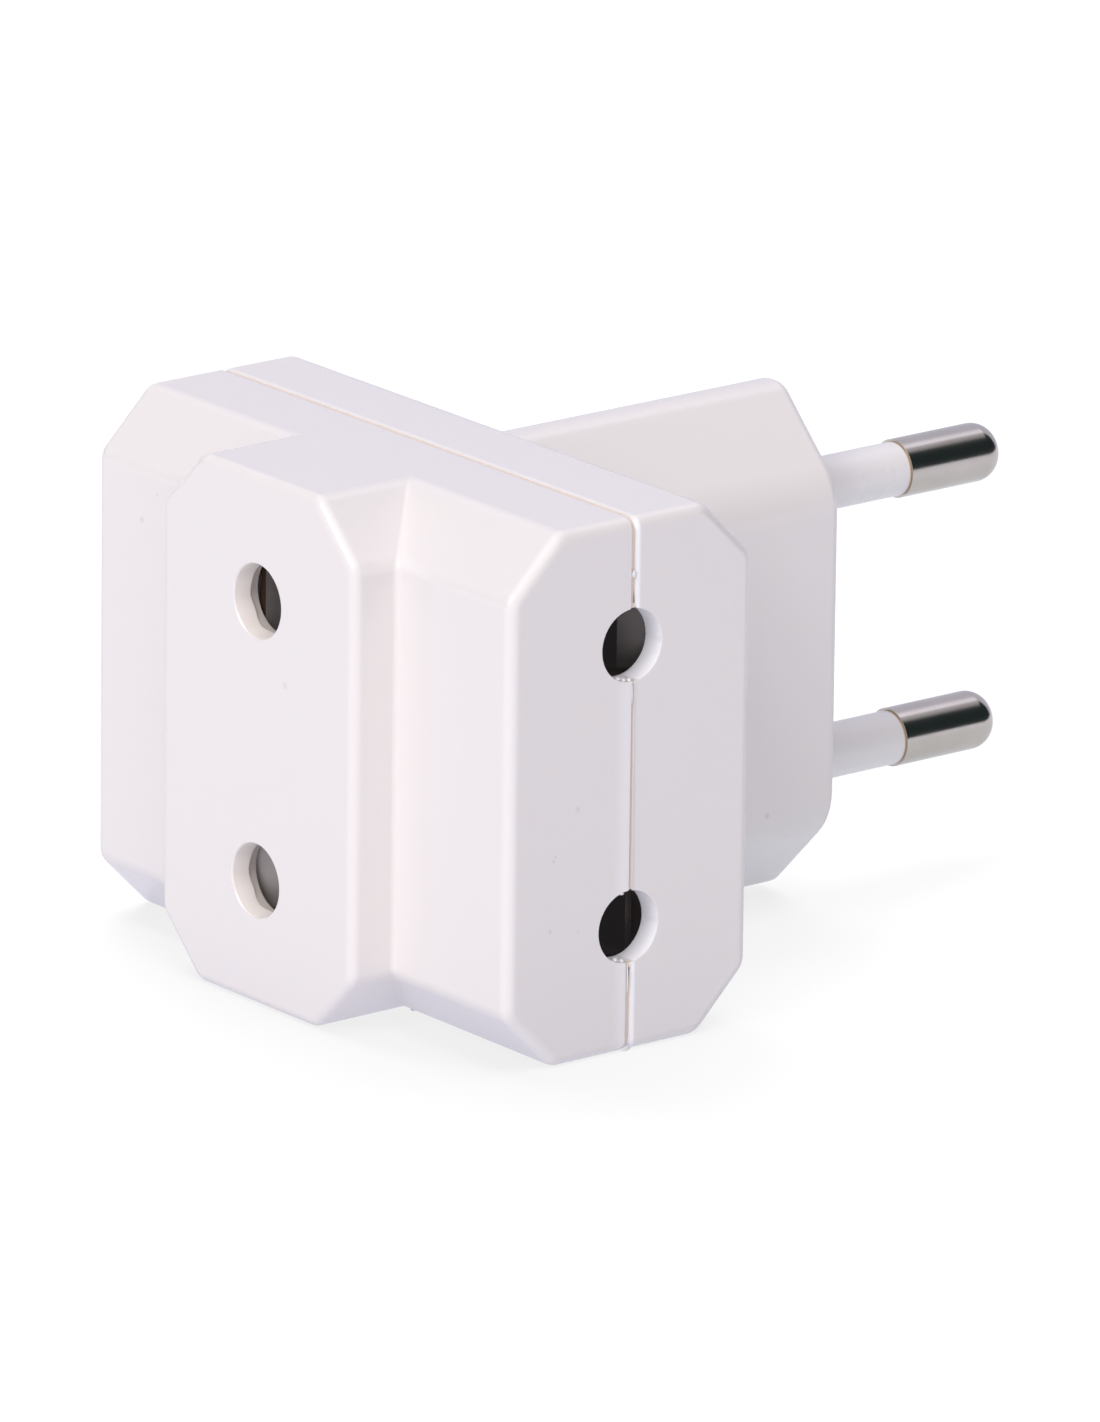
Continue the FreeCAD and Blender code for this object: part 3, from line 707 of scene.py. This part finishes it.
# The walls of both kinds of bore get painted light, a glow of their own.
paint_glow(shell_plastics[BORE], BORE_PAINTED_GLOW, BORE_PAINTED_GLOW_STRENGTH)
paint_glow(shell_plastics[END_BORE], END_BORE_PAINTED_GLOW, END_BORE_PAINTED_GLOW_STRENGTH)
for node_name, rim_y, rim_round in (
    ("front_shell", 0.0, FRONT_RIM_ROUND),
    ("rear_shell", SEAM_GAP, REAR_RIM_ROUND),
):
    piece = moulded_shell(node_name, rim_y, rim_round)
    for shell_plastic in shell_plastics:
        piece.data.materials.append(shell_plastic)
    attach(piece, "root")
    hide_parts(node_name)


# Weld line. Where the shells were melted together a little plastic fills the seam. Its
# warm tan colour is painted shade, the warm shade down in the seam. It lies deeper at
# the ends of the bar than on top.
WELD_SHADE_COLOUR = (0.90, 0.76, 0.64, 1.0)
WELD_CLOUD = (0.84, 0.64, 0.50, 1.0)
WELD_CLOUD_AMOUNT = 0.9
WELD_ROUGHNESS = 0.45
WELD_BUMP = 0.3
WELD_RECESS_TOP = 0.13 * MM
WELD_RECESS_END = 0.19 * MM
WELD_DEPTH = 0.25 * MM
WELD_CORNER = 0.8 * MM
WELD_CORNER_SEGMENTS = 5
WELD_Y_START = -0.06 * MM
WELD_Y_END = 0.40 * MM
HOLE_CLEAR = 2.47 * MM


def in_hole(face):
    """Whether a face of the weld lies where one of the end holes crosses it."""
    height = face.calc_center_median().z
    return abs(height - nearest_level(height)) < HOLE_CLEAR


def weld_frame():
    """The weld as a frame in the seam, open where the end holes cross it."""
    shape = bmesh.new()
    half = front_high.x - WELD_RECESS_END
    low = front_low.z + WELD_RECESS_TOP
    high = front_high.z - WELD_RECESS_TOP
    corners = ((-half, low), (half, low), (half, high), (-half, high))
    verts = [shape.verts.new((x, WELD_Y_START, z)) for x, z in corners]
    shape.faces.new(verts)
    bmesh.ops.bevel(
        shape,
        geom=verts,
        offset=WELD_CORNER,
        segments=WELD_CORNER_SEGMENTS,
        profile=0.5,
        affect="VERTICES",
        material=-1,
    )
    inner = shape.faces[:]
    bmesh.ops.inset_region(
        shape,
        faces=inner,
        thickness=WELD_DEPTH,
        use_boundary=True,
        use_even_offset=True,
    )
    bmesh.ops.delete(shape, geom=inner, context="FACES")
    walls = bmesh.ops.extrude_face_region(shape, geom=shape.faces[:])
    moved = [v for v in walls["geom"] if isinstance(v, bmesh.types.BMVert)]
    bmesh.ops.translate(shape, verts=moved, vec=(0.0, WELD_Y_END - WELD_Y_START, 0.0))
    bmesh.ops.recalc_face_normals(shape, faces=shape.faces[:])
    for level in HOLE_LEVELS:
        for edge in (level - HOLE_CLEAR, level + HOLE_CLEAR):
            bmesh.ops.bisect_plane(
                shape,
                geom=shape.verts[:] + shape.edges[:] + shape.faces[:],
                plane_co=(0.0, 0.0, edge),
                plane_no=(0.0, 0.0, 1.0),
            )
    crossed = [face for face in shape.faces if in_hole(face)]
    bmesh.ops.delete(shape, geom=crossed, context="FACES")
    open_edges = [edge for edge in shape.edges if edge.is_boundary]
    bmesh.ops.holes_fill(shape, edges=open_edges)
    bmesh.ops.recalc_face_normals(shape, faces=shape.faces[:])
    return link_mesh("weld_line", shape)


weld_shade_plastic = plastic(
    "weld_shade_plastic",
    WELD_SHADE_COLOUR,
    WELD_CLOUD,
    WELD_CLOUD_AMOUNT,
    WELD_ROUGHNESS,
    WELD_BUMP,
)
weld_line = weld_frame()
weld_line.data.materials.append(weld_shade_plastic)
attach(weld_line, "root")


# Flash. Small crumbs, nibs and ridges of white plastic pressed out where the shells
# were welded and where the holes were cored, broken off short and left rough.
FLASH_FLUSH = 0.004 * MM
FLASH_FINENESS = 3
FLASH_SHARP_ANGLE = math.radians(60.0)
FLASH_COLOUR = (0.90, 0.89, 0.89, 1.0)
FLASH_CLOUD = (0.88, 0.85, 0.83, 1.0)
FLASH_CLOUD_AMOUNT = 0.5
FLASH_ROUGHNESS = 0.35
FLASH_BUMP = 0.6
CRUMB_STEP = (7.3, 1.9)
LUMP_SCALE = 2.1
GRIT_SCALE = 5.3
GRIT_SHARE = 0.5
FLASH = (
    # Middle in mm, half sizes in mm, and how rough it is
    ((22.02, 0.14, 32.25), (0.10, 0.17, 0.26), 0.25),
    ((22.02, 0.05, 24.3), (0.10, 0.10, 0.75), 0.35),
    ((21.70, -0.85, 25.30), (0.22, 0.16, 0.13), 0.5),
    ((21.75, -0.45, 25.20), (0.20, 0.14, 0.12), 0.5),
    ((21.85, -0.05, 25.15), (0.15, 0.12, 0.10), 0.5),
    ((22.05, -0.55, 10.82), (0.05, 0.17, 0.06), 0.4),
    ((21.75, -0.78, 6.33), (0.17, 0.15, 0.13), 0.5),
    ((21.80, -0.32, 6.20), (0.16, 0.14, 0.13), 0.5),
    ((22.03, 0.02, 5.0), (0.07, 0.05, 0.95), 0.3),
    ((21.97, -0.02, 0.20), (0.12, 0.36, 0.16), 0.3),
    ((7.2, -5.95, 0.12), (0.22, 0.16, 0.10), 0.45),
)


def flash_crumbs():
    """Round lumps made uneven, drawn out to their size and cut flush with the bar."""
    shape = bmesh.new()
    for number, (middle, half, rough) in enumerate(FLASH):
        made = bmesh.ops.create_icosphere(
            shape, subdivisions=FLASH_FINENESS, radius=1.0
        )
        shift = Vector((CRUMB_STEP[0] * number, CRUMB_STEP[1] * number, 0.0))
        for vert in made["verts"]:
            lump = noise.noise(vert.co * LUMP_SCALE + shift)
            grit = noise.noise(vert.co * GRIT_SCALE + shift)
            vert.co *= 1.0 + rough * (lump + GRIT_SHARE * grit)
            place = Vector((m + h * c for m, h, c in zip(middle, half, vert.co)))
            vert.co = place * MM
            vert.co.x = min(vert.co.x, front_high.x - FLASH_FLUSH)
            vert.co.z = max(vert.co.z, front_low.z + FLASH_FLUSH)
    bmesh.ops.recalc_face_normals(shape, faces=shape.faces[:])
    return link_mesh("flash_crumbs", shape)


flash_plastic = plastic(
    "flash_plastic",
    FLASH_COLOUR,
    FLASH_CLOUD,
    FLASH_CLOUD_AMOUNT,
    FLASH_ROUGHNESS,
    FLASH_BUMP,
)
crumbs = flash_crumbs()
finish_smooth(crumbs, FLASH_SHARP_ANGLE)
crumbs.data.materials.append(flash_plastic)
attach(crumbs, "root")


# Plug pins. Turned brass, bright nickel plated, with a rounded tip. They are fixed in
# the rear shell by a collar, and riveted to the contacts at their inner end.
NICKEL = (0.62, 0.575, 0.52, 1.0)
NICKEL_SHADE = (0.53, 0.49, 0.435, 1.0)
NICKEL_CLOUDS = (420.0, 4.0)
NICKEL_ROUGHNESS = (0.13, 0.23)
TURNED_STRETCH = (60.0, 5200.0, 60.0)
TURNED_DETAIL = 3.0
TURNED_BUMP = 0.12
TURNED_DEPTH = 0.004 * MM


def stretched(nodes, links, place, stretch):
    """Places drawn together along the axes, so that a noise over them runs in lines."""
    mapping = nodes.new("ShaderNodeMapping")
    mapping.inputs["Scale"].default_value = stretch
    links.new(place, mapping.inputs["Vector"])
    return mapping.outputs["Vector"]


def bright_nickel():
    """Plated metal with fine turning marks round it and faint clouds."""
    material, shader, _ = new_material("bright_nickel")
    nodes, links = material.node_tree.nodes, material.node_tree.links
    place = nodes.new("ShaderNodeTexCoord").outputs["Object"]
    around = stretched(nodes, links, place, TURNED_STRETCH)
    marks = noise_map(nodes, links, around, 1.0, TURNED_DETAIL)
    raise_relief(nodes, links, shader, marks, TURNED_BUMP, TURNED_DEPTH)
    cloud = noise_map(nodes, links, place, *NICKEL_CLOUDS)
    tint = mixed_colour(nodes, links, cloud, NICKEL, NICKEL_SHADE)
    links.new(tint, shader.inputs["Base Color"])
    rough = spread(nodes, links, cloud, NICKEL_ROUGHNESS)
    links.new(rough, shader.inputs["Roughness"])
    shader.inputs["Metallic"].default_value = 1.0
    return material


nickel = bright_nickel()
for node_name in ("plug_pin_upper", "plug_pin_lower"):
    pin = link_mesh(f"{node_name}_turned", joined_copy(node_name))
    finish_smooth(pin, SHARP_ANGLE)
    pin.data.materials.append(nickel)
    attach(pin, "root")
    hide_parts(node_name)


# Pin sleeves. White insulating tubes moulded on the thin part of each pin, between the
# plug and the bare tip, so that no live metal can be touched while it is plugged in.
# Their end is a little scorched where the hot plastic met the pin.
SLEEVE_COLOUR = (0.87, 0.83, 0.83, 1.0)
SLEEVE_CLOUD = (0.88, 0.84, 0.82, 1.0)
SLEEVE_CLOUD_AMOUNT = 0.8
SLEEVE_ROUGHNESS = 0.3
SLEEVE_BUMP = 0.3
SCORCHED_COLOUR = (0.60, 0.42, 0.27, 1.0)
SCORCHED_EDGE = (0.13 * MM, 0.05 * MM)


def scorch_end(material, end):
    """A narrow brown line round a sleeve's end."""
    nodes, links = material.node_tree.nodes, material.node_tree.links
    edge = [end - depth for depth in SCORCHED_EDGE]
    mask = soft_edge(nodes, links, own_axes(nodes, links)["Y"], edge)
    lay_over(material, mask, SCORCHED_COLOUR)


sleeve_plastic = plastic(
    "sleeve_plastic",
    SLEEVE_COLOUR,
    SLEEVE_CLOUD,
    SLEEVE_CLOUD_AMOUNT,
    SLEEVE_ROUGHNESS,
    SLEEVE_BUMP,
)
scorch_end(sleeve_plastic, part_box("pin_sleeve_upper")[1].y)
for node_name in ("pin_sleeve_upper", "pin_sleeve_lower"):
    sleeve = link_mesh(f"{node_name}_tube", joined_copy(node_name))
    finish_smooth(sleeve, SHARP_ANGLE)
    sleeve.data.materials.append(sleeve_plastic)
    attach(sleeve, "root")
    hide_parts(node_name)


# Contacts. Strips and clips stamped from spring brass, the strips coloured very dark,
# the clips tinned. They are riveted to the pins and only show deep in the socket holes.
BRASS = (0.14, 0.125, 0.115, 1.0)
BRASS_DULL = (0.09, 0.08, 0.075, 1.0)
BRASS_METALLIC = 1.0
TINNED = (0.50, 0.468, 0.445, 1.0)
TINNED_DULL = (0.38, 0.35, 0.335, 1.0)
TINNED_METALLIC = 0.5
# Dark brown on the faces whose normals look to the front, along -Y
FRONT_FACE_DARK = (0.04, 0.018, 0.01, 1.0)
FRONT_FACING = (-0.85, -0.97)
TARNISH = (320.0, 5.0)
ROLLED_STRETCH = (120.0, 120.0, 2600.0)
ROLLED_DETAIL = 4.0
ROLLED_ROUGHNESS = (0.28, 0.5)
ROLLED_BUMP = 0.25
ROLLED_DEPTH = 0.01 * MM
# Painted light: the strips glow faintly, which makes the dark deep in the holes a
# little lighter.
STRIP_PAINTED_GLOW = (1.0, 0.92, 0.95, 1.0)
STRIP_PAINTED_GLOW_STRENGTH = 0.012


def spring_metal(name, colour, dull_colour, metallic):
    """Rolled sheet metal with tarnish in clouds, and dark brown on the faces that look
    to the front.
    """
    material, shader, _ = new_material(name)
    nodes, links = material.node_tree.nodes, material.node_tree.links
    place = nodes.new("ShaderNodeTexCoord")
    along = stretched(nodes, links, place.outputs["Object"], ROLLED_STRETCH)
    rolled = noise_map(nodes, links, along, 1.0, ROLLED_DETAIL)
    tarnish = noise_map(nodes, links, place.outputs["Object"], *TARNISH)
    tint = mixed_colour(nodes, links, tarnish, colour, dull_colour)
    facing = nodes.new("ShaderNodeSeparateXYZ")
    links.new(place.outputs["Normal"], facing.inputs["Vector"])
    mask = soft_edge(nodes, links, facing.outputs["Y"], FRONT_FACING)
    shade = mixed_colour(nodes, links, mask, tint, FRONT_FACE_DARK)
    links.new(shade, shader.inputs["Base Color"])
    rough = spread(nodes, links, rolled, ROLLED_ROUGHNESS)
    links.new(rough, shader.inputs["Roughness"])
    raise_relief(nodes, links, shader, rolled, ROLLED_BUMP, ROLLED_DEPTH)
    shader.inputs["Metallic"].default_value = metallic
    return material


strip_metal = spring_metal("dull_brass", BRASS, BRASS_DULL, BRASS_METALLIC)
paint_glow(strip_metal, STRIP_PAINTED_GLOW, STRIP_PAINTED_GLOW_STRENGTH)
clip_metal = spring_metal("tinned_brass", TINNED, TINNED_DULL, TINNED_METALLIC)
for node_name, metal in (
    ("contact_strip_upper", strip_metal),
    ("contact_strip_lower", strip_metal),
    ("contact_clip_upper", clip_metal),
    ("contact_clip_lower", clip_metal),
):
    for material_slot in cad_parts[node_name].material_slots:
        material_slot.material = metal
